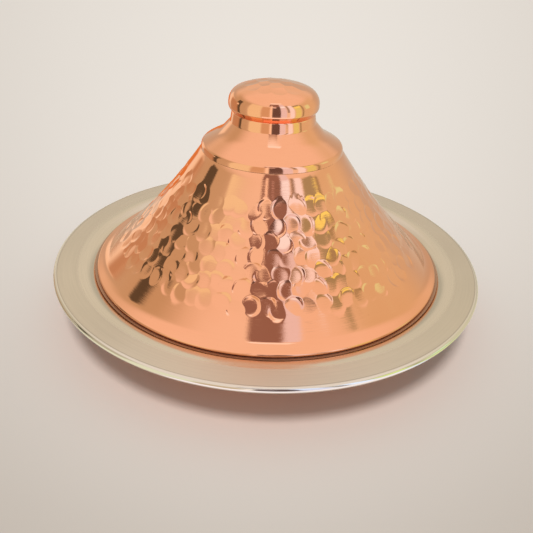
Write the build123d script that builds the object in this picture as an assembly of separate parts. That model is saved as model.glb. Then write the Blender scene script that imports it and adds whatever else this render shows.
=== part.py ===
from build123d import *
import math
import os

# Copper serving dish with a lift-off conical lid. Millimetres, +Z up, origin at
# the centre of the flat face that the dish stands on. Every piece is turned
# about Z, so each one is a half section in the XZ plane, revolved once round.

# Dish
rim_radius = 150.0
hem_radius = 2.0              # rolled edge, outside, with its tin
hem_height = 36.0             # centre of the rolled edge above the table
hem_turn = 285.0              # degrees of copper rolled round the wire
tin_turn = 125.0              # degrees of the roll that the tin covers
dish_copper = 1.0
dish_tin = 0.25
floor_corner = 96.0           # where the floor's line and the wall's line meet
floor_bend = 22.0
seat_inner_radius = 114.8
seat_outer_radius = 122.4
seat_height = 35.4            # the ledge that carries the lid
seat_inner_bend = 2.4
seat_outer_bend = 0.8
brim_inner_radius = 126.4
brim_inner_height = 38.45     # the brim falls very slightly towards its edge
brim_bend = 13.0

# Lid
lid_copper = 0.8
lid_tin = 0.2
foot_roll_radius = 1.2        # the foot's edge is rolled under
foot_roll_centre = 119.5
foot_roll_turn = 250.0
foot_gap = 0.2                # lid's rolled foot above the ledge
foot_crease = 114.5           # where the cone flares into its narrow foot flange
foot_slope = 15.0             # degrees that the flange falls outwards
foot_bend = 11.5
lid_tin_edge = 118.0          # the lid's tin stops short of the roll
cone_middle = (77.75, 74.4)   # where the lines of the cone's two ends cross
cone_bend = 455.0             # the cone is slightly hollow
cap_seam = (47.0, 118.8)      # a point of the cone under the cap's edge
collar_length = 4.2           # cone carried on under the cap

# Cap: shoulder, flare and neck, closed by a disc with a hole in it
cap_copper = 1.0
skirt_radius = 47.4
skirt_top_radius = 47.0
shoulder_height = 122.3
shoulder_bend = 3.2
flare_point = (35.2, 129.0)
flare_bend = 18.0
neck_foot = (28.2, 137.0)
neck_foot_bend = 1.5
neck_top_radius = 27.2
neck_top = 143.8
neck_top_bend = 1.5
vent_radius = 8.0

# Knob
knob_copper = 1.0
knob_radius = 29.5
knob_top = 162.7
knob_dome_bend = 60.5
knob_dome_point = 12.4        # where the dome's two end tangents cross
knob_shoulder_height = 155.5
knob_side_bend = 9.3
knob_belly_height = 146.6     # the side turns in below this
knob_belly_bend = 3.5
knob_foot_radius = 27.3

# Solder in the two seams of the lid
cap_solder_top = 121.4
cap_solder_reach = 3.0
knob_solder_height = 1.6
trim_length = 4.0             # sheet drawn past a seam, then cut back to it


def shifted(points, shift):
    # The same run of straight lines, moved to the right of its direction.
    lines = []
    for (x0, z0), (x1, z1) in zip(points, points[1:]):
        length = math.hypot(x1 - x0, z1 - z0)
        ux, uz = (x1 - x0) / length, (z1 - z0) / length
        lines.append((x0 + uz * shift, z0 - ux * shift, ux, uz, length))
    moved = [(lines[0][0], lines[0][1])]
    for (x0, z0, ux, uz, _), (x1, z1, vx, vz, _) in zip(lines, lines[1:]):
        along = ((x1 - x0) * vz - (z1 - z0) * vx) / (ux * vz - uz * vx)
        moved.append((x0 + ux * along, z0 + uz * along))
    x0, z0, ux, uz, length = lines[-1]
    moved.append((x0 + ux * length, z0 + uz * length))
    return moved


def bends(points, radii, shift):
    # A left bend widens as the line moves right, and a right bend tightens.
    result = []
    for (x0, z0), (x1, z1), (x2, z2), radius in zip(points, points[1:], points[2:], radii):
        left = (x1 - x0) * (z2 - z1) - (z1 - z0) * (x2 - x1) > 0
        result.append(radius + shift if left else radius - shift)
    return result


def sheet(points, radii, near, far, roll_radius=0.0, roll_turn=0.0):
    # Section of sheet between two depths below a surface line, with its end
    # rolled to the right where a roll is given.
    with BuildSketch(Plane.XZ) as section:
        with BuildLine():
            ends = []
            for depth in (near, far):
                line = FilletPolyline(*shifted(points, depth), radius=bends(points, radii, depth))
                end = line @ 1
                if roll_turn:
                    roll = JernArc(end, line % 1, roll_radius - depth, -roll_turn)
                    end = roll @ 1
                ends.append((line @ 0, end))
            Line(ends[0][0], ends[1][0])
            Line(ends[0][1], ends[1][1])
        make_face()
    return section.sketch


def outline(points):
    with BuildSketch(Plane.XZ) as section:
        with BuildLine():
            Polyline(*points, close=True)
        make_face()
    return section.sketch


def disc(x, z, radius):
    with BuildSketch(Plane.XZ) as section:
        with Locations((x, z)):
            Circle(radius)
    return section.sketch


def turned(section):
    return revolve(section, axis=Axis.Z, revolution_arc=360)


def tangent_point(start, centre, radius):
    # Where a line from start runs on to the top of a circle.
    dx, dz = centre[0] - start[0], centre[1] - start[1]
    distance = math.hypot(dx, dz)
    slope = math.atan2(dz, dx) + math.asin(radius / distance)
    length = math.sqrt(distance**2 - radius**2)
    return start[0] + length * math.cos(slope), start[1] + length * math.sin(slope)


def dish_pieces():
    back = dish_tin + dish_copper
    hem_centre = (rim_radius - hem_radius, hem_height)
    brim_start = (brim_inner_radius, brim_inner_height)
    surface = [
        (0, back),
        (floor_corner, back),
        (seat_inner_radius, seat_height),
        (seat_outer_radius, seat_height),
        brim_start,
        tangent_point(brim_start, hem_centre, hem_radius),
    ]
    radii = [floor_bend, seat_inner_bend, seat_outer_bend, brim_bend]
    tin = sheet(surface, radii, 0, dish_tin, hem_radius, tin_turn)
    copper = sheet(surface, radii, dish_tin, back, hem_radius, hem_turn)
    wire = disc(*hem_centre, hem_radius - back)
    return {
        "dish_body": turned(copper),
        "dish_tin_lining": turned(tin),
        "rim_wire": turned(wire),
    }


def roll_start():
    # Where the flange runs on to the roll, which stands just above the ledge.
    slope = math.radians(foot_slope)
    centre_height = seat_height + foot_gap + foot_roll_radius
    return (
        foot_roll_centre + foot_roll_radius * math.sin(slope),
        centre_height + foot_roll_radius * math.cos(slope),
    )


def flange_point(radius):
    x, z = roll_start()
    return radius, z + (x - radius) * math.tan(math.radians(foot_slope))


def cone_surface(foot_end):
    # Outside of the cone from the edge under the cap down to the foot flange.
    x, z = cap_seam
    dx, dz = x - cone_middle[0], z - cone_middle[1]
    length = math.hypot(dx, dz)
    top = (x + dx / length * collar_length, z + dz / length * collar_length)
    return [top, cone_middle, flange_point(foot_crease), flange_point(foot_end)]


def under_cone():
    # Everything below the straight top of the cone, for fitting the cap to it.
    top, middle = cone_surface(foot_crease)[:2]
    return outline([top, middle, (0, middle[1]), (0, top[1])])


def cone_pieces():
    radii = [cone_bend, foot_bend]
    foot = cone_surface(roll_start()[0])
    copper = sheet(foot, radii, 0, lid_copper, foot_roll_radius, foot_roll_turn)
    tin = sheet(cone_surface(lid_tin_edge), radii, lid_copper, lid_copper + lid_tin)
    return {"lid_cone": turned(copper), "lid_tin_lining": turned(tin)}


def cap_section():
    surface = [
        (vent_radius, neck_top),
        (neck_top_radius, neck_top),
        neck_foot,
        flare_point,
        (skirt_top_radius, shoulder_height),
        (skirt_radius, cap_seam[1] - trim_length),
    ]
    radii = [neck_top_bend, neck_foot_bend, flare_bend, shoulder_bend]
    return sheet(surface, radii, 0, cap_copper) - under_cone()


def knob_section():
    lean = (knob_radius - knob_foot_radius) / (knob_belly_height - neck_top)
    surface = [
        (0, knob_top),
        (knob_dome_point, knob_top),
        (knob_radius, knob_shoulder_height),
        (knob_radius, knob_belly_height),
        (knob_foot_radius - trim_length * lean, neck_top - trim_length),
    ]
    radii = [knob_dome_bend, knob_side_bend, knob_belly_bend]
    below = outline([(0, 0), (knob_radius, 0), (knob_radius, neck_top), (0, neck_top)])
    return sheet(surface, radii, 0, knob_copper) - below


def crown_pieces():
    cap = cap_section()
    knob = knob_section()
    # Each solder wedge starts inside its sheet and is trimmed to the seam.
    seam_height = cap_seam[1]
    skirt_middle = skirt_radius - cap_copper / 2
    cap_wedge = outline([
        (skirt_middle - cap_solder_reach, seam_height),
        (skirt_middle, seam_height),
        (skirt_middle, cap_solder_top),
        (skirt_middle - cap_solder_reach, cap_solder_top),
    ])
    foot_middle = knob_foot_radius - knob_copper / 2
    knob_wedge = outline([
        (knob_foot_radius - knob_copper - knob_solder_height, neck_top),
        (foot_middle, neck_top),
        (foot_middle, neck_top + knob_solder_height),
    ])
    return {
        "lid_cap": turned(cap),
        "lid_knob": turned(knob),
        "cap_solder_ring": turned(cap_wedge - cap - under_cone()),
        "knob_solder_ring": turned(knob_wedge - knob),
    }


os.makedirs("parts", exist_ok=True)
pieces = {**dish_pieces(), **cone_pieces(), **crown_pieces()}
for name, piece in pieces.items():
    export_step(piece, f"parts/{name}.step")
    print(name, round(piece.volume / 1000, 2), "cm3")
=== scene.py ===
import math
import random

import bpy
import numpy as np
from mathutils import Matrix, Vector


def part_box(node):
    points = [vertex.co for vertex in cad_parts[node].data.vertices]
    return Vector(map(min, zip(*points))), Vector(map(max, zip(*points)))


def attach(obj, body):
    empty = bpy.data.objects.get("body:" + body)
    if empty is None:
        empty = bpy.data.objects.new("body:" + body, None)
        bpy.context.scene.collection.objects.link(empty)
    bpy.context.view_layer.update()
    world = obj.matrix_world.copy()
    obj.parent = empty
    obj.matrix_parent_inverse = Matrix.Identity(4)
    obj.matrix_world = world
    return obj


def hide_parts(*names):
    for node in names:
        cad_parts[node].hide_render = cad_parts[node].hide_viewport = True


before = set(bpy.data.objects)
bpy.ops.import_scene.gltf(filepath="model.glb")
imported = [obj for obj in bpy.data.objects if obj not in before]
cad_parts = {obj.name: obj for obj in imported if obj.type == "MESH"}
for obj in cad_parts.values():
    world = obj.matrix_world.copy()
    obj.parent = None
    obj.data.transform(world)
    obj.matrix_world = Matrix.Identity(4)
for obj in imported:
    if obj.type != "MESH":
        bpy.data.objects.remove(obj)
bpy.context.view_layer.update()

# Copper tagine: a tinned serving dish and a hammered lid. Lengths here are in
# millimetres until a mesh is made, with the origin under the dish's centre.

mm = 0.001
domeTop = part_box("lid_knob")[1].z / mm
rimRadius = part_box("dish_tin_lining")[1].x / mm

detail = {
    "arcStep": 1.4,         # longest step along a bend
    "arcTurn": 4.0,         # degrees, most turn in one step
    "arcLeast": 2,          # fewest steps in a bend
    "spinSteps": 360,       # steps round a smooth piece
    "sharpAngle": 40.0,     # degrees, sharper edges aren't smoothed
    "onAxis": 1e-6,         # nearer the axis than this is on it
    "samePoint": 1e-4,      # nearer each other than this is one point
}


# Section lines: straight runs, shifted sideways for the sheet's thickness, with
# their corners rounded.

def shiftRun(run, shift):
    lines = []
    for (r0, z0), (r1, z1) in zip(run, run[1:]):
        length = math.hypot(r1 - r0, z1 - z0)
        ur, uz = (r1 - r0) / length, (z1 - z0) / length
        lines.append((r0 + uz * shift, z0 - ur * shift, ur, uz, length))
    moved = [lines[0][:2]]
    for (r0, z0, ur, uz, _), (r1, z1, vr, vz, _) in zip(lines, lines[1:]):
        along = ((r1 - r0) * vz - (z1 - z0) * vr) / (ur * vz - uz * vr)
        moved.append((r0 + ur * along, z0 + uz * along))
    r0, z0, ur, uz, length = lines[-1]
    moved.append((r0 + ur * length, z0 + uz * length))
    return moved


def shiftBends(run, bends, shift):
    moved = []
    for (r0, z0), (r1, z1), (r2, z2), bend in zip(run, run[1:], run[2:], bends):
        turnsLeft = (r1 - r0) * (z2 - z1) - (z1 - z0) * (r2 - r1) > 0
        moved.append(bend + shift if turnsLeft else bend - shift)
    return moved


def arcPoints(centre, radius, start, turn):
    steps = max(
        math.ceil(abs(turn) / math.radians(detail["arcTurn"])),
        math.ceil(abs(turn) * radius / detail["arcStep"]),
        detail["arcLeast"],
    )
    return [
        (
            centre[0] + radius * math.cos(start + turn * i / steps),
            centre[1] + radius * math.sin(start + turn * i / steps),
        )
        for i in range(steps + 1)
    ]


def roundRun(run, bends):
    line = [run[0]]
    for before, corner, after, bend in zip(run, run[1:], run[2:], bends):
        a = (Vector(corner) - Vector(before)).normalized()
        b = (Vector(after) - Vector(corner)).normalized()
        turn = math.atan2(a.x * b.y - a.y * b.x, a.dot(b))
        start = Vector(corner) - a * bend * math.tan(abs(turn) / 2)
        side = Vector((-a.y, a.x)) * math.copysign(bend, turn)
        centre = start + side
        line += arcPoints(centre, bend, math.atan2(-side.y, -side.x), turn)
    line.append(run[-1])
    return line


def rollOn(line, radius, degrees):
    # the end of the line rolled over to the right
    (r0, z0), (r1, z1) = line[-2:]
    ahead = math.atan2(z1 - z0, r1 - r0)
    centre = (r1 + radius * math.sin(ahead), z1 - radius * math.cos(ahead))
    return line[:-1] + arcPoints(centre, radius, ahead + math.pi / 2, -math.radians(degrees))


def sheetLoop(run, bends, near, far, rollRadius=0.0, rollTurn=0.0):
    # both faces of the sheet, joined into one closed section
    faces = []
    for depth in (near, far):
        line = roundRun(shiftRun(run, depth), shiftBends(run, bends, depth))
        if rollTurn:
            line = rollOn(line, rollRadius - depth, rollTurn)
        faces.append(line)
    return faces[0] + faces[1][::-1]


# Meshes of revolution

def meshFrom(name, corners, faces, material):
    mesh = bpy.data.meshes.new(name)
    mesh.from_pydata(corners, [], faces)
    mesh.validate()
    mesh.update()
    piece = bpy.data.objects.new(name, mesh)
    bpy.context.scene.collection.objects.link(piece)
    mesh.polygons.foreach_set("use_smooth", [True] * len(mesh.polygons))
    mesh.set_sharp_from_angle(angle=math.radians(detail["sharpAngle"]))
    mesh.materials.append(material)
    return piece


def withoutDoubles(loop):
    # the closed loop with points that fall together made one
    clean = [loop[0]]
    for point in loop[1:]:
        if math.dist(point, clean[-1]) > detail["samePoint"]:
            clean.append(point)
    if math.dist(clean[0], clean[-1]) < detail["samePoint"]:
        clean.pop()
    return clean


def spin(name, loop, material, steps=None, shape=None):
    # loop is turned about Z; shape moves the finished points, ring by ring
    steps = steps or detail["spinSteps"]
    angles = np.arange(steps) * 2 * math.pi / steps
    rings, corners = [], []
    for index, (r, z) in enumerate(withoutDoubles(loop)):
        if r < detail["onAxis"]:
            rings.append([len(corners)])
            corners.append((0, 0, z * mm))
            continue
        rs, zs = np.full(steps, r), np.full(steps, z)
        if shape:
            rs, zs = shape(index, r, z, angles)
        first = len(corners)
        rings.append(list(range(first, first + steps)))
        corners += list(zip(rs * np.cos(angles) * mm, rs * np.sin(angles) * mm, zs * mm))
    faces = []
    for one, two in zip(rings, rings[1:] + rings[:1]):
        if len(one) == 1 and len(two) == 1:
            continue
        for i in range(steps):
            j = (i + 1) % steps
            if len(one) == 1:
                faces.append((one[0], two[i], two[j]))
            elif len(two) == 1:
                faces.append((one[j], one[i], two[0]))
            else:
                faces.append((one[j], one[i], two[i], two[j]))
    return meshFrom(name, corners, faces, material)


# Materials. Each noise runs from 0 to 1, and its range is where a change goes from
# none to full.

grain = {
    "tint": {"octaves": 3, "range": (0.35, 0.65)},
    "lines": {"octaves": 4, "roughness": 0.7, "range": (0.3, 0.7)},
    "specks": {"octaves": 2, "width": 0.05, "strength": 0.6, "roughness": 0.3},
    "wear": {"octaves": 4, "range": (0.35, 0.7)},
    "leastRadius": 0.001,       # metres
}


def treeOf(material):
    material.use_nodes = True
    tree = material.node_tree
    return tree, tree.nodes["Principled BSDF"]


def mathNode(tree, operation, first, second=None):
    node = tree.nodes.new("ShaderNodeMath")
    node.operation = operation
    for socket, value in zip(node.inputs, (first, second)):
        if value is None:
            continue
        if isinstance(value, (int, float)):
            socket.default_value = value
        else:
            tree.links.new(value, socket)
    return node.outputs[0]


def turnedPlace(tree, across, around):
    # a place on the piece that changes slowly round the axis and fast across it
    place = tree.nodes.new("ShaderNodeTexCoord").outputs["Object"]
    parts = tree.nodes.new("ShaderNodeSeparateXYZ")
    tree.links.new(place, parts.inputs[0])
    x, y, z = parts.outputs
    squared = mathNode(tree, "ADD", mathNode(tree, "MULTIPLY", x, x), mathNode(tree, "MULTIPLY", y, y))
    radius = mathNode(tree, "MAXIMUM", mathNode(tree, "SQRT", squared), grain["leastRadius"])
    run = mathNode(tree, "SUBTRACT", radius, z)
    joined = tree.nodes.new("ShaderNodeCombineXYZ")
    for socket, value in zip(joined.inputs, (x, y)):
        share = mathNode(tree, "DIVIDE", value, radius)
        tree.links.new(mathNode(tree, "MULTIPLY", share, around), socket)
    tree.links.new(mathNode(tree, "MULTIPLY", run, across), joined.inputs[2])
    return place, radius, joined.outputs[0]


def noiseNode(tree, place, scale, octaves, roughness=0.5):
    node = tree.nodes.new("ShaderNodeTexNoise")
    node.inputs["Scale"].default_value = scale
    node.inputs["Detail"].default_value = octaves
    node.inputs["Roughness"].default_value = roughness
    tree.links.new(place, node.inputs["Vector"])
    return node.outputs["Fac"]


def rangeNode(tree, value, before, after):
    node = tree.nodes.new("ShaderNodeMapRange")
    for socket, number in zip(("From Min", "From Max", "To Min", "To Max"), (*before, *after)):
        node.inputs[socket].default_value = number
    tree.links.new(value, node.inputs["Value"])
    return node.outputs[0]


def smoothRange(tree, value, low, high):
    node = tree.nodes.new("ShaderNodeMapRange")
    node.interpolation_type = "SMOOTHSTEP"
    node.inputs["From Min"].default_value = low
    node.inputs["From Max"].default_value = high
    tree.links.new(value, node.inputs["Value"])
    return node.outputs[0]


def mixColours(tree, share, first, second):
    node = tree.nodes.new("ShaderNodeMix")
    node.data_type = "RGBA"
    sockets = (node.inputs["Factor"], node.inputs[6], node.inputs[7])
    for socket, value in zip(sockets, (share, first, second)):
        if isinstance(value, (int, float)):
            socket.default_value = value
        elif isinstance(value, tuple):
            socket.default_value = (*value, 1)
        else:
            tree.links.new(value, socket)
    return node.outputs[2]


def turnedMetal(name, finish):
    # sheet metal polished on a lathe: tint, wear, specks and fine turned lines
    material = bpy.data.materials.new(name)
    tree, shader = treeOf(material)
    place, radius, turned = turnedPlace(tree, finish["lineAcross"], finish["lineAround"])
    shader.inputs["Metallic"].default_value = 1.0
    tint = noiseNode(tree, place, finish["tintScale"], grain["tint"]["octaves"])
    tintShare = rangeNode(tree, tint, grain["tint"]["range"], (0, 1))
    colour = mixColours(tree, tintShare, finish["colour"], finish["tint"])
    lines = noiseNode(tree, turned, 1.0, grain["lines"]["octaves"], grain["lines"]["roughness"])
    lineShare = rangeNode(tree, lines, grain["lines"]["range"], (0, finish["lineColour"]))
    colour = mixColours(tree, lineShare, colour, finish["lineTint"])
    specks = noiseNode(tree, place, finish["speckScale"], grain["specks"]["octaves"])
    speckRange = (finish["speckFrom"], finish["speckFrom"] + grain["specks"]["width"])
    speckShare = rangeNode(tree, specks, speckRange, (0, grain["specks"]["strength"]))
    colour = mixColours(tree, speckShare, colour, finish["speckColour"])
    wear = noiseNode(tree, place, finish["wearScale"], grain["wear"]["octaves"])
    rough = rangeNode(tree, wear, grain["wear"]["range"], finish["roughness"])
    speckRough = mathNode(tree, "MULTIPLY", speckShare, grain["specks"]["roughness"])
    rough = mathNode(tree, "ADD", rough, speckRough)
    lineRough = rangeNode(tree, lines, grain["lines"]["range"], (-finish["lineRough"], finish["lineRough"]))
    rough = mathNode(tree, "ADD", rough, lineRough)
    for ring in finish.get("rings", ()):
        # turned rings at radii in metres: polished ones, and ones carrying painted shade, a painted
        # reflection and a painted highlight
        soft = ring["soft"] / 2
        opens = smoothRange(tree, radius, ring["from"] - soft, ring["from"] + soft)
        closes = smoothRange(tree, radius, ring["to"] + soft, ring["to"] - soft)
        share = mathNode(tree, "MULTIPLY", opens, closes)
        if "roughness" in ring:
            gap = mathNode(tree, "SUBTRACT", ring["roughness"], rough)
            rough = mathNode(tree, "ADD", rough, mathNode(tree, "MULTIPLY", share, gap))
        if "colour" in ring:
            # painted shade, reflection and highlight mixed into the colour
            paintedShare = mathNode(tree, "MULTIPLY", share, ring["strength"])
            colour = mixColours(tree, paintedShare, colour, ring["colour"])
    tree.links.new(colour, shader.inputs["Base Color"])
    tree.links.new(rough, shader.inputs["Roughness"])
    if "radialSmear" in finish:
        # the turned lines smear a reflection across themselves
        tangent = tree.nodes.new("ShaderNodeTangent")
        tangent.direction_type = "RADIAL"
        tangent.axis = "Z"
        tree.links.new(tangent.outputs[0], shader.inputs["Tangent"])
        shader.inputs["Anisotropic"].default_value = finish["radialSmear"]
        shader.inputs["Anisotropic Rotation"].default_value = 0.25
    bump = tree.nodes.new("ShaderNodeBump")
    bump.inputs["Strength"].default_value = finish["bump"]
    bump.inputs["Distance"].default_value = finish["bumpHeight"]
    tree.links.new(lines, bump.inputs["Height"])
    tree.links.new(bump.outputs[0], shader.inputs["Normal"])
    return material


copperFinish = {
    "colour": (0.94, 0.47, 0.275),
    "tint": (0.91, 0.43, 0.235),
    "tintScale": 14.0,
    "lineAcross": 900.0,
    "lineAround": 3.0,
    "lineColour": 0.10,
    "lineTint": (0.80, 0.33, 0.16),
    "lineRough": 0.02,
    "speckScale": 420.0,
    "speckFrom": 0.79,
    "speckColour": (0.20, 0.09, 0.05),
    "wearScale": 22.0,
    "roughness": (0.05, 0.11),
    "bump": 0.12,
    "bumpHeight": 0.00005,
}
hammeredFinish = {**copperFinish, "lineColour": 0.07, "bump": 0.4, "roughness": (0.02, 0.06)}
undersideFinish = {
    **copperFinish,
    "colour": (0.84, 0.40, 0.24),
    "tint": (0.70, 0.33, 0.20),
    "roughness": (0.18, 0.32),
    "bump": 0.3,
}
tinFinish = {
    "colour": (0.72, 0.63, 0.51),
    "tint": (0.67, 0.59, 0.475),
    "tintScale": 9.0,
    "lineAcross": 1500.0,
    "lineAround": 2.0,
    "lineColour": 0.30,
    "lineTint": (0.55, 0.49, 0.40),
    "lineRough": 0.03,
    "speckScale": 500.0,
    "speckFrom": 0.80,
    "speckColour": (0.30, 0.27, 0.22),
    "wearScale": 16.0,
    "roughness": (0.36, 0.44),
    "radialSmear": 0.7,
    "rings": (
        # the ledge round the lid's foot: painted shade of the gap under the foot and a painted reflection
        # of the lid's copper
        {"from": 0.1190, "to": 0.1226, "soft": 0.0006, "colour": (0.42, 0.22, 0.125), "strength": 0.85},
        # polished bend up to the brim
        {"from": 0.1225, "to": 0.1335, "soft": 0.0020, "roughness": 0.14},
        # painted shade in the crease where the brim starts to roll over
        {"from": 0.1472, "to": 0.1479, "soft": 0.0004, "colour": (0.22, 0.19, 0.16), "strength": 0.30},
        # polished rolled edge, its colour lightened as a painted highlight
        {
            "from": 0.1479,
            "to": 0.1600,
            "soft": 0.0006,
            "roughness": 0.10,
            "colour": (0.88, 0.84, 0.78),
            "strength": 0.35,
        },
    ),
    "bump": 0.20,
    "bumpHeight": 0.00005,
}
wireFinish = {
    **tinFinish,
    "colour": (0.42, 0.42, 0.42),
    "tint": (0.36, 0.35, 0.34),
    "rings": (),
}
solderFinish = {
    **tinFinish,
    "colour": (0.50, 0.49, 0.46),
    "tint": (0.42, 0.41, 0.39),
    "roughness": (0.35, 0.5),
    "rings": (),
}

polishedCopper = turnedMetal("polishedCopper", copperFinish)
hammeredCopper = turnedMetal("hammeredCopper", hammeredFinish)
undersideCopper = turnedMetal("undersideCopper", undersideFinish)
wipedTin = turnedMetal("wipedTin", tinFinish)
steelWire = turnedMetal("steelWire", wireFinish)
softSolder = turnedMetal("softSolder", solderFinish)
print("finishes made")


# Dish: copper outside, tin inside, over the brim and round its rolled edge

dish = {
    "copper": 1.0,
    "tin": 0.25,
    "floorCorner": 96.0,
    "floorBend": 22.0,
    "seatInner": 114.8,
    "seatOuter": 122.4,
    "seatHeight": 35.4,
    "seatInnerBend": 2.4,
    "seatOuterBend": 0.8,
    "brimInner": 126.4,
    "brimHeight": 38.45,
    "brimBend": 13.0,
    "hemRadius": 2.0,
    "hemHeight": 36.0,
    "copperRoll": 285.0,
    "tinRoll": 125.0,
    "spinSteps": 480,
}


def tangentPoint(start, centre, radius):
    dr, dz = centre[0] - start[0], centre[1] - start[1]
    distance = math.hypot(dr, dz)
    slope = math.atan2(dz, dr) + math.asin(radius / distance)
    length = math.sqrt(distance**2 - radius**2)
    return start[0] + length * math.cos(slope), start[1] + length * math.sin(slope)


def makeDish(d):
    back = d["tin"] + d["copper"]
    hemCentre = (rimRadius - d["hemRadius"], d["hemHeight"])
    brimStart = (d["brimInner"], d["brimHeight"])
    run = [
        (0, back),
        (d["floorCorner"], back),
        (d["seatInner"], d["seatHeight"]),
        (d["seatOuter"], d["seatHeight"]),
        brimStart,
        tangentPoint(brimStart, hemCentre, d["hemRadius"]),
    ]
    bends = [d["floorBend"], d["seatInnerBend"], d["seatOuterBend"], d["brimBend"]]
    tin = sheetLoop(run, bends, 0, d["tin"], d["hemRadius"], d["tinRoll"])
    copper = sheetLoop(run, bends, d["tin"], back, d["hemRadius"], d["copperRoll"])
    copperDish = spin("copperDish", copper, undersideCopper, d["spinSteps"])
    tinnedInside = spin("tinnedInside", tin, wipedTin, d["spinSteps"])
    stands = ((copperDish, "dish_body", "copper"), (tinnedInside, "dish_tin_lining", "tin"))
    for piece, node, slot in stands:
        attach(piece, "dish")
        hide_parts(node)


makeDish(dish)
print("dish made")


# Lid: hammered cone with a rolled foot, tinned inside

cone = {
    "copper": 0.8,
    "tin": 0.2,
    "rollRadius": 1.2,
    "rollCentre": 119.5,
    "rollTurn": 250.0,
    "gap": 0.2,
    "footCrease": 114.5,
    "footSlope": 15.0,
    "footBend": 11.5,
    "tinEdge": 118.0,
    "middle": (77.75, 74.4),
    "bend": 455.0,
    "seam": (47.0, 118.8),
    "collar": 4.2,
    "spinSteps": 1080,
    "rowStep": 0.50,         # mesh rows in the hammered band and by the cap
    "plainStep": 2.0,        # mesh rows elsewhere
    "rowMargin": 1.0,        # the close rows run on by this
    "shoulder": 4.5,         # the cone rounds in under the cap over this length
    "shoulderDrop": 0.35,
}
hammer = {
    "seed": 7,
    "firstRow": 22.5,        # along the slope from the cap's edge
    "rows": 7,
    "rowPitch": 9.9,
    "columnPitch": 8.8,
    "depth": 0.21,
    "depthSpread": 0.04,
    "flatness": 0.80,        # share of a mark that is flat with a steep edge
    "tilt": 0.075,           # slope of a blow that lands askew
    "across": 5.9,           # half width of one mark
    "along": 6.3,            # half height of one mark
    "jitter": 0.8,
    "blend": 0.02,           # softness of the ridges
    "reach": 1.3,            # a mark counts up to this many half sizes away
}


def rollStart(c):
    # where the flange runs on to the roll, just above the dish's ledge
    slope = math.radians(c["footSlope"])
    centreHeight = dish["seatHeight"] + c["gap"] + c["rollRadius"]
    return (
        c["rollCentre"] + c["rollRadius"] * math.sin(slope),
        centreHeight + c["rollRadius"] * math.cos(slope),
    )


def flangePoint(c, radius):
    r, z = rollStart(c)
    return radius, z + (r - radius) * math.tan(math.radians(c["footSlope"]))


def coneRun(c, footEnd):
    r, z = c["seam"]
    dr, dz = r - c["middle"][0], z - c["middle"][1]
    length = math.hypot(dr, dz)
    top = (r + dr / length * c["collar"], z + dz / length * c["collar"])
    return [top, c["middle"], flangePoint(c, c["footCrease"]), flangePoint(c, footEnd)]


def splitLine(line, steps):
    # the same line with more points; steps gives the longest step at a distance
    result, distance = [line[0]], 0.0
    for (r0, z0), (r1, z1) in zip(line, line[1:]):
        length = math.hypot(r1 - r0, z1 - z0)
        parts = max(1, math.ceil(length / steps(distance + length / 2)))
        for i in range(1, parts + 1):
            result.append((r0 + (r1 - r0) * i / parts, z0 + (z1 - z0) * i / parts))
        distance += length
    return result


def hammerMarks(line, c, h):
    # one blow each: distance, angle, depth, half width, half height and tilts
    draw = random.Random(h["seed"])
    points = np.array(line)
    lengths = np.hypot(*np.diff(points, axis=0).T)
    distances = np.concatenate([[0], np.cumsum(lengths)]) - c["collar"]
    radii = points[:, 0]
    marks = []
    for row in range(h["rows"]):
        distance = h["firstRow"] + row * h["rowPitch"]
        radius = float(np.interp(distance, distances, radii))
        count = round(2 * math.pi * radius / h["columnPitch"])
        for column in range(count):
            angle = (column + row % 2 / 2) * 2 * math.pi / count - math.pi / 2
            marks.append((
                distance + draw.uniform(-1, 1) * h["jitter"],
                angle + draw.uniform(-1, 1) * h["jitter"] / radius,
                h["depth"] + draw.uniform(-1, 1) * h["depthSpread"],
                h["across"],
                h["along"],
                draw.uniform(-1, 1) * h["tilt"],
                draw.uniform(-1, 1) * h["tilt"],
            ))
    return marks, distances


def deeper(first, second, blend):
    # the deeper of two dents, with a softened ridge between them
    share = np.clip((second - first) / blend * 0.5 + 0.5, 0, 1)
    return first + (second - first) * share + blend * share * (1 - share)


def dentDepth(distance, radius, angles, marks, h):
    # how far the blows sink one ring of the surface
    depth = np.zeros(len(angles))
    for markDistance, markAngle, deep, across, along, tiltAcross, tiltAlong in marks:
        rise = distance - markDistance
        if abs(rise) > along * h["reach"]:
            continue
        turn = ((angles - markAngle + math.pi) % (2 * math.pi) - math.pi) * radius
        near = np.abs(turn) < across * h["reach"]
        out = (rise / along)**2 + (turn / across)**2
        bowl = deep * (1 - (1 - h["flatness"]) * out - h["flatness"] * out**3)
        sunk = bowl + tiltAlong * rise + tiltAcross * turn
        depth = np.where(near & (sunk > -h["blend"]), deeper(depth, sunk, h["blend"]), depth)
    return np.maximum(depth, 0)


def normalsOf(line):
    # unit normals of a section line, to its left
    normals = []
    for i in range(len(line)):
        (r0, z0), (r1, z1) = line[max(i - 1, 0)], line[min(i + 1, len(line) - 1)]
        length = math.dist((r0, z0), (r1, z1))
        normals.append((-(z1 - z0) / length, (r1 - r0) / length))
    return normals


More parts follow.
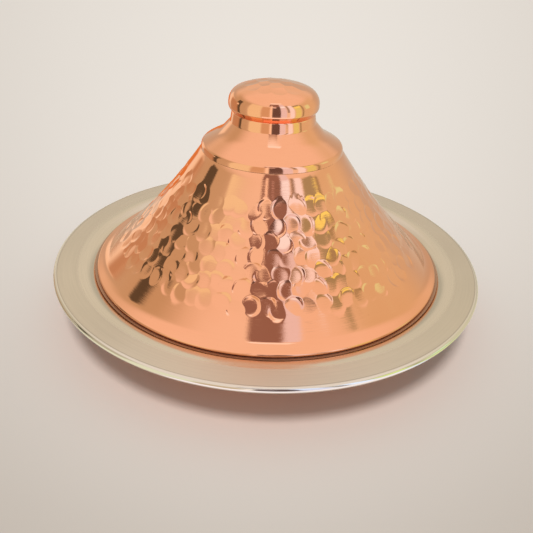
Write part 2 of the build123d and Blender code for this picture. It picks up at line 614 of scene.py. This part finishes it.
def makeCone(c, h):
    inside = c["copper"] + c["tin"]
    bends = [c["bend"], c["footBend"]]
    run = coneRun(c, rollStart(c)[0])
    first = h["firstRow"] - h["along"] - c["rowMargin"]
    last = h["firstRow"] + (h["rows"] - 1) * h["rowPitch"] + h["along"] + c["rowMargin"]

    def step(distance):
        down = distance - c["collar"]
        close = first < down < last or -c["rowMargin"] < down < c["shoulder"]
        return c["rowStep"] if close else c["plainStep"]

    outer = splitLine(roundRun(run, bends), step)
    inner = roundRun(shiftRun(run, c["copper"]), shiftBends(run, bends, c["copper"]))
    marks, distances = hammerMarks(outer, c, h)
    normals = normalsOf(outer)
    loop = rollOn(outer, c["rollRadius"], c["rollTurn"])
    loop += rollOn(inner, c["rollRadius"] - c["copper"], c["rollTurn"])[::-1]

    def sink(index, r, z, angles):
        if index >= len(outer) - 1:
            return np.full(len(angles), r), np.full(len(angles), z)
        depth = dentDepth(distances[index], r, angles, marks, h)
        depth += c["shoulderDrop"] * min(1, max(0, 1 - distances[index] / c["shoulder"]))**2
        normalR, normalZ = normals[index]
        return r - normalR * depth, z - normalZ * depth

    hammeredCone = spin("hammeredCone", loop, hammeredCopper, c["spinSteps"], sink)
    tinRun = coneRun(c, c["tinEdge"])
    tinLoop = sheetLoop(tinRun, bends, c["copper"], inside)
    lidTin = spin("lidTin", tinLoop, wipedTin)
    stands = ((hammeredCone, "lid_cone", "hammered_copper"), (lidTin, "lid_tin_lining", "tin"))
    for piece, node, slot in stands:
        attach(piece, "lid")
        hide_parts(node)


makeCone(cone, hammer)
print("cone made")


# Cap and knob

cap = {
    "copper": 1.0,
    "skirtRadius": 47.4,
    "skirtTop": 47.0,
    "shoulderHeight": 122.3,
    "shoulderBend": 3.2,
    "flarePoint": (35.2, 129.0),
    "flareBend": 18.0,
    "neckFoot": (28.2, 137.0),
    "neckFootBend": 1.5,
    "neckTopRadius": 27.2,
    "neckTop": 143.8,
    "neckTopBend": 1.5,
    "ventRadius": 8.0,
    "trim": 4.0,             # the skirt's slope is set this far past the seam
    "meetRounds": 20,        # rounds to find where the skirt meets the cone
    "spinSteps": 360,
}
knob = {
    "copper": 1.0,
    "radius": 29.5,
    "domeBend": 60.5,
    "domePoint": 12.4,
    "shoulderDrop": 7.2,
    "sideBend": 9.3,
    "bellyHeight": 146.6,
    "bellyBend": 3.5,
    "footRadius": 27.3,
    "spinSteps": 480,
    "rowStep": 0.4,          # mesh rows on the hammered top
    "plainStep": 0.8,        # mesh rows below it
    "rowMargin": 1.0,
}
knobHammer = {
    "seed": 3,
    "rings": ((0.0, 1), (8.2, 6), (15.0, 11)),    # radius of a ring of blows, and their number
    "depth": 0.46,
    "depthSpread": 0.10,
    "across": 5.4,
    "acrossSpread": 0.1,
    "jitter": 0.7,
    "blend": 0.03,
}


def slopeHeight(lower, upper, r):
    # height of a straight slope at a radius
    return lower[1] + (upper[1] - lower[1]) * (r - lower[0]) / (upper[0] - lower[0])


def makeCap(p, c):
    # the skirt is cut where it meets the cone
    top, middle = coneRun(c, c["footCrease"])[:2]
    lean = (p["skirtRadius"] - p["skirtTop"]) / (p["shoulderHeight"] - c["seam"][1] + p["trim"])

    def meetCone(depth):
        r = p["skirtRadius"] - depth
        for _ in range(p["meetRounds"]):
            z = slopeHeight(top, middle, r)
            r = p["skirtTop"] + lean * (p["shoulderHeight"] - z) - depth
        return r, slopeHeight(top, middle, r)

    run = [
        (p["ventRadius"], p["neckTop"]),
        (p["neckTopRadius"], p["neckTop"]),
        p["neckFoot"],
        p["flarePoint"],
        (p["skirtTop"], p["shoulderHeight"]),
        meetCone(0),
    ]
    bends = [p["neckTopBend"], p["neckFootBend"], p["flareBend"], p["shoulderBend"]]
    outer = roundRun(run, bends)
    inner = roundRun(shiftRun(run, p["copper"]), shiftBends(run, bends, p["copper"]))
    inner[-1] = meetCone(p["copper"])
    spunCap = spin("spunCap", outer + inner[::-1], polishedCopper, p["spinSteps"])
    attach(spunCap, "lid")
    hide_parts("lid_cap")


def makeKnob(k, h, neckTop):
    lean = (k["radius"] - k["footRadius"]) / (k["bellyHeight"] - neckTop)
    run = [
        (0, domeTop),
        (k["domePoint"], domeTop),
        (k["radius"], domeTop - k["shoulderDrop"]),
        (k["radius"], k["bellyHeight"]),
        (k["footRadius"], neckTop),
    ]
    bends = [k["domeBend"], k["sideBend"], k["bellyBend"]]
    outer = roundRun(run, bends)
    hammered = h["rings"][-1][0] + h["across"] + k["rowMargin"]
    outer = splitLine(outer, lambda distance: k["rowStep"] if distance < hammered else k["plainStep"])
    inner = roundRun(shiftRun(run, k["copper"]), shiftBends(run, bends, k["copper"]))
    innerFoot = k["footRadius"] - k["copper"] * math.hypot(lean, 1)
    inner[-1] = (innerFoot, neckTop)
    draw = random.Random(h["seed"])
    blows = []
    for ring, count in h["rings"]:
        phase = draw.uniform(0, 1)
        for blow in range(count):
            angle = (blow + phase) * 2 * math.pi / count
            out = ring + draw.uniform(-1, 1) * h["jitter"]
            blows.append((
                out * math.cos(angle),
                out * math.sin(angle),
                h["depth"] + draw.uniform(-1, 1) * h["depthSpread"],
                h["across"] * draw.uniform(1 - h["acrossSpread"], 1 + h["acrossSpread"]),
            ))

    def sink(index, r, z, angles):
        depth = np.zeros(len(angles))
        if index < len(outer):
            x, y = r * np.cos(angles), r * np.sin(angles)
            for blowX, blowY, deep, across in blows:
                sunk = deep * (1 - ((x - blowX)**2 + (y - blowY)**2) / across**2)
                depth = deeper(depth, sunk, h["blend"])
            depth = np.maximum(depth, 0)
        return np.full(len(angles), r), z - depth

    knobShell = spin("knobShell", outer + inner[::-1], polishedCopper, k["spinSteps"], sink)
    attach(knobShell, "lid")
    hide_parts("lid_knob")


makeCap(cap, cone)
makeKnob(knob, knobHammer, cap["neckTop"])
print("cap and knob made")


# Hidden pieces keep their own shapes

hiddenPieces = {"rim_wire": steelWire, "cap_solder_ring": softSolder, "knob_solder_ring": softSolder}
for node, material in hiddenPieces.items():
    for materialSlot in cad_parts[node].material_slots:
        materialSlot.material = material
print("hidden pieces finished")


# Floor, light and camera

studio = {
    "floorRadius": 7.0,             # metres
    "floorSteps": 96,
    "floorRoughness": 0.95,
    # the floor's colour holds a painted pool of light: darker at the edge, lighter in the middle
    "floorEdge": (0.580, 0.518, 0.453),
    "floorMiddle": (0.862, 0.804, 0.739),
    "fadeFrom": 0.41,               # the painted pool of light on the floor fades sideways and forwards from here
    "fadeHeight": 0.267,
    "fadeCentre": 0.35,
    "fadeDown": 0.75,
    "fadeSpread": 1.1,
    "fadeLeast": 0.05,
    "mirrorFrom": (0.155, 0.19),    # metres out, where metal starts to see the room in the floor
    "wallLeft": (0.64, 0.58, 0.44),
    "wallRight": (0.82, 0.77, 0.58),
    "wallFront": (1.00, 0.95, 0.87),
    "wallBack": (0.64, 0.60, 0.51),
    "wallBackTop": (0.90, 0.82, 0.70),
    "ceiling": (1.02, 0.93, 0.88),
    # where one wall runs into the next, along a direction with a length of 1
    "sideBlend": (-0.7, 0.7),
    "backBlend": (0.35, 0.85),
    "backTopBlend": (0.30, 0.50),
    "frontBlend": (-0.2, -0.8),
    "ceilingBlend": (0.55, 0.80),
    "daylight": (0.420, 0.485, 0.495),
    "horizon": (0.80, 0.75, 0.68),
    "keyFrom": (-0.03, -0.50, 1.0),
    "keySpread": 14.0,              # degrees
    "keyPower": 1.92,
    "keyColour": (1.0, 0.886, 0.868),
    "eyeHeight": 0.08,              # metres, where the screens are centred
}

# Screens and flags that only show as reflections in the metal: degrees round from
# the front to the right, degrees up, width of the soft edge, and colour.
screens = {
    "leftScreen": {"turn": (-66, -31), "rise": (-40, 41), "soft": 6, "colour": (1.00, 1.02, 0.80)},
    "brownPost": {"turn": (-31, -9), "rise": (-17, 38), "soft": 7, "colour": (0.76, 0.60, 0.43)},
    "darkFlag": {"turn": (-3, 26), "rise": (-17, 46), "soft": 3, "colour": (0.17, 0.125, 0.13)},
    "flagTop": {"turn": (-14, 18), "rise": (45, 62), "soft": 3, "colour": (0.34, 0.23, 0.22)},
    "flagPane": {"turn": (-9, 7), "rise": (34, 43), "soft": 3, "colour": (0.90, 0.88, 1.00)},
    "coolWindow": {"turn": (18, 33), "rise": (-30, 60), "soft": 2, "colour": (0.94, 1.02, 1.40)},
    "coolPane": {"turn": (19, 32), "rise": (36, 46), "soft": 2, "colour": (1.10, 1.45, 2.05)},
    "windowBar": {"turn": (35, 41), "rise": (0, 49), "soft": 3, "colour": (0.42, 0.38, 0.36)},
    "secondWindow": {"turn": (41, 53), "rise": (-30, 47), "soft": 3, "colour": (1.10, 1.30, 1.75)},
    "oliveScreen": {"turn": (54, 74), "rise": (33, 42), "soft": 3, "colour": (0.46, 0.48, 0.34)},
    "yellowScreen": {"turn": (56, 72), "rise": (-40, 33), "soft": 4, "colour": (0.90, 1.08, 0.50)},
    "yellowPane": {"turn": (56, 76), "rise": (24, 34), "soft": 2, "colour": (1.15, 1.30, 0.45)},
    "screenPost": {"turn": (75, 80), "rise": (-17, 36), "soft": 3, "colour": (0.45, 0.43, 0.28)},
    "paleScreen": {"turn": (86, 100), "rise": (3, 24), "soft": 5, "colour": (0.88, 1.20, 0.80)},
    "leftFlag": {"turn": (-106, -91), "rise": (-16, 29), "soft": 3, "colour": (0.13, 0.12, 0.09)},
    "creamScreen": {"turn": (-151, -124), "rise": (-8, 14), "soft": 6, "colour": (1.05, 0.98, 0.82)},
    "rustScreen": {"turn": (-134, -100), "rise": (-17, 12), "soft": 8, "colour": (0.60, 0.42, 0.28)},
    "orangeScreen": {"turn": (-179, -146), "rise": (-40, -2), "soft": 5, "colour": (0.78, 0.26, 0.07)},
    "leftPane": {"turn": (-104, -98), "rise": (4, 11), "soft": 2, "colour": (1.10, 1.05, 0.90)},
    "flagEdge": {"turn": (-8, -4), "rise": (-17, 52), "soft": 2, "colour": (1.20, 1.10, 1.05)},
    "paleEdge": {"turn": (3, 6), "rise": (38, 46), "soft": 2, "colour": (0.80, 0.62, 0.68)},
    "frontTable": {"turn": (-28, 47), "rise": (-90, -11), "soft": 4, "colour": (1.30, 1.24, 1.36)},
    "highWindow": {"turn": (-16, 34), "rise": (64, 71), "soft": 4, "colour": (1.20, 1.35, 1.60)},
}


def surroundings(tree, direction, s):
    # the colour of the room in one direction, which has a length of 1
    parts = tree.nodes.new("ShaderNodeSeparateXYZ")
    tree.links.new(direction, parts.inputs[0])
    x, y, z = parts.outputs
    colour = mixColours(tree, smoothRange(tree, x, *s["sideBlend"]), s["wallLeft"], s["wallRight"])
    back = mixColours(tree, smoothRange(tree, z, *s["backTopBlend"]), s["wallBack"], s["wallBackTop"])
    colour = mixColours(tree, smoothRange(tree, y, *s["backBlend"]), colour, back)
    colour = mixColours(tree, smoothRange(tree, y, *s["frontBlend"]), colour, s["wallFront"])
    colour = mixColours(tree, smoothRange(tree, z, *s["ceilingBlend"]), colour, s["ceiling"])
    forward = mathNode(tree, "MULTIPLY", y, -1.0)
    turn = mathNode(tree, "DEGREES", mathNode(tree, "ARCTAN2", x, forward))
    rise = mathNode(tree, "DEGREES", mathNode(tree, "ARCSINE", z))
    for screen in screens.values():
        share = None
        for value, (low, high) in ((turn, screen["turn"]), (rise, screen["rise"])):
            half = screen["soft"] / 2
            for start, end in ((low - half, low + half), (high + half, high - half)):
                side = smoothRange(tree, value, start, end)
                share = mathNode(tree, "MULTIPLY", share, side) if share else side
        colour = mixColours(tree, share, colour, screen["colour"])
    return colour


def makeFloor(s):
    # pale, with a painted pool of light that is lighter behind the dish; metal sees the room's screens in
    # it
    material = bpy.data.materials.new("paleFloor")
    tree, shader = treeOf(material)
    shader.inputs["Roughness"].default_value = s["floorRoughness"]
    shader.inputs["Specular IOR Level"].default_value = 0.0
    place = tree.nodes.new("ShaderNodeTexCoord").outputs["Object"]

    def number(operation, first, second=None):
        return mathNode(tree, operation, first, second)

    def vectorNode(operation, first, second=None):
        node = tree.nodes.new("ShaderNodeVectorMath")
        node.operation = operation
        tree.links.new(first, node.inputs[0])
        if second:
            node.inputs[1].default_value = second
        return node

    parts = tree.nodes.new("ShaderNodeSeparateXYZ")
    tree.links.new(place, parts.inputs[0])
    x, y, _ = parts.outputs
    ahead = number("MAXIMUM", number("ADD", y, s["fadeFrom"]), s["fadeLeast"])
    aside = number("DIVIDE", x, ahead)
    down = number("SUBTRACT", number("DIVIDE", s["fadeHeight"], ahead), s["fadeCentre"])
    down = number("MULTIPLY", down, s["fadeDown"])
    squared = number("ADD", number("MULTIPLY", aside, aside), number("MULTIPLY", down, down))
    share = smoothRange(tree, number("SQRT", squared), s["fadeSpread"], 0.0)
    # painted pool of light in the floor's colour
    tone = mixColours(tree, share, s["floorEdge"], s["floorMiddle"])
    tree.links.new(tone, shader.inputs["Base Color"])
    seenFrom = vectorNode("SUBTRACT", place, (0, 0, s["eyeHeight"])).outputs[0]
    direction = vectorNode("NORMALIZE", seenFrom).outputs[0]
    glow = tree.nodes.new("ShaderNodeEmission")
    tree.links.new(surroundings(tree, direction, s), glow.inputs["Color"])
    distance = vectorNode("LENGTH", place).outputs["Value"]
    clear = smoothRange(tree, distance, *s["mirrorFrom"])
    seen = tree.nodes.new("ShaderNodeLightPath").outputs["Is Glossy Ray"]
    mixed = tree.nodes.new("ShaderNodeMixShader")
    tree.links.new(mathNode(tree, "MULTIPLY", clear, seen), mixed.inputs[0])
    tree.links.new(shader.outputs[0], mixed.inputs[1])
    tree.links.new(glow.outputs[0], mixed.inputs[2])
    tree.links.new(mixed.outputs[0], tree.nodes["Material Output"].inputs[0])
    steps = s["floorSteps"]
    angles = [2 * math.pi * i / steps for i in range(steps)]
    rim = [(s["floorRadius"] * math.cos(a), s["floorRadius"] * math.sin(a), 0) for a in angles]
    corners = [(0, 0, 0)] + rim
    faces = [(0, 1 + i, 1 + (i + 1) % steps) for i in range(steps)]
    mesh = bpy.data.meshes.new("floor")
    mesh.from_pydata(corners, [], faces)
    mesh.materials.append(material)
    floor = bpy.data.objects.new("floor", mesh)
    bpy.context.scene.collection.objects.link(floor)


def makeSky(s):
    # metal reflects the room, everything else has plain daylight
    world = bpy.data.worlds.new("studioSky")
    world.use_nodes = True
    tree = world.node_tree
    background = tree.nodes["Background"]
    direction = tree.nodes.new("ShaderNodeTexCoord").outputs["Generated"]
    room = surroundings(tree, direction, s)
    path = tree.nodes.new("ShaderNodeLightPath").outputs
    colour = mixColours(tree, path["Is Glossy Ray"], s["daylight"], room)
    colour = mixColours(tree, path["Is Camera Ray"], colour, s["horizon"])
    tree.links.new(colour, background.inputs["Color"])
    background.inputs["Strength"].default_value = 1.0
    bpy.context.scene.world = world


def makeLamp(s):
    lamp = bpy.data.lights.new("softKey", "SUN")
    lamp.angle = math.radians(s["keySpread"])
    lamp.energy = s["keyPower"]
    lamp.color = s["keyColour"]
    holder = bpy.data.objects.new("softKey", lamp)
    bpy.context.scene.collection.objects.link(holder)
    holder.rotation_mode = "QUATERNION"
    holder.rotation_quaternion = (-Vector(s["keyFrom"])).to_track_quat("-Z", "Y")
    holder.visible_glossy = False


view = {
    "lens": 43.48,
    "sensor": 36.0,
    "place": (0.0, -0.41213, 0.26711),    # metres
    "aim": (0.0, 0.0, 0.036),
    "pitch": -1.064,                      # degrees above the aim
    "roll": 2.626,                        # degrees
    "nearest": 0.01,
}


def makeCamera(v):
    up = Vector((0, 0, 1))
    ahead = (Vector(v["aim"]) - Vector(v["place"])).normalized()
    side = ahead.cross(up).normalized()
    ahead = (ahead + math.tan(math.radians(v["pitch"])) * side.cross(ahead)).normalized()
    side = ahead.cross(up).normalized()
    over = side.cross(ahead)
    roll = math.radians(v["roll"])
    right = math.cos(roll) * side + math.sin(roll) * over
    top = -math.sin(roll) * side + math.cos(roll) * over
    camera = bpy.data.cameras.new("camera")
    camera.lens = v["lens"]
    camera.sensor_width = v["sensor"]
    camera.clip_start = v["nearest"]
    holder = bpy.data.objects.new("camera", camera)
    bpy.context.scene.collection.objects.link(holder)
    axes = Matrix((right, top, -ahead)).transposed().to_4x4()
    holder.matrix_world = Matrix.Translation(v["place"]) @ axes
    bpy.context.scene.camera = holder


makeFloor(studio)
makeSky(studio)
makeLamp(studio)
makeCamera(view)
bpy.context.scene.view_settings.view_transform = "Standard"
print("studio made")
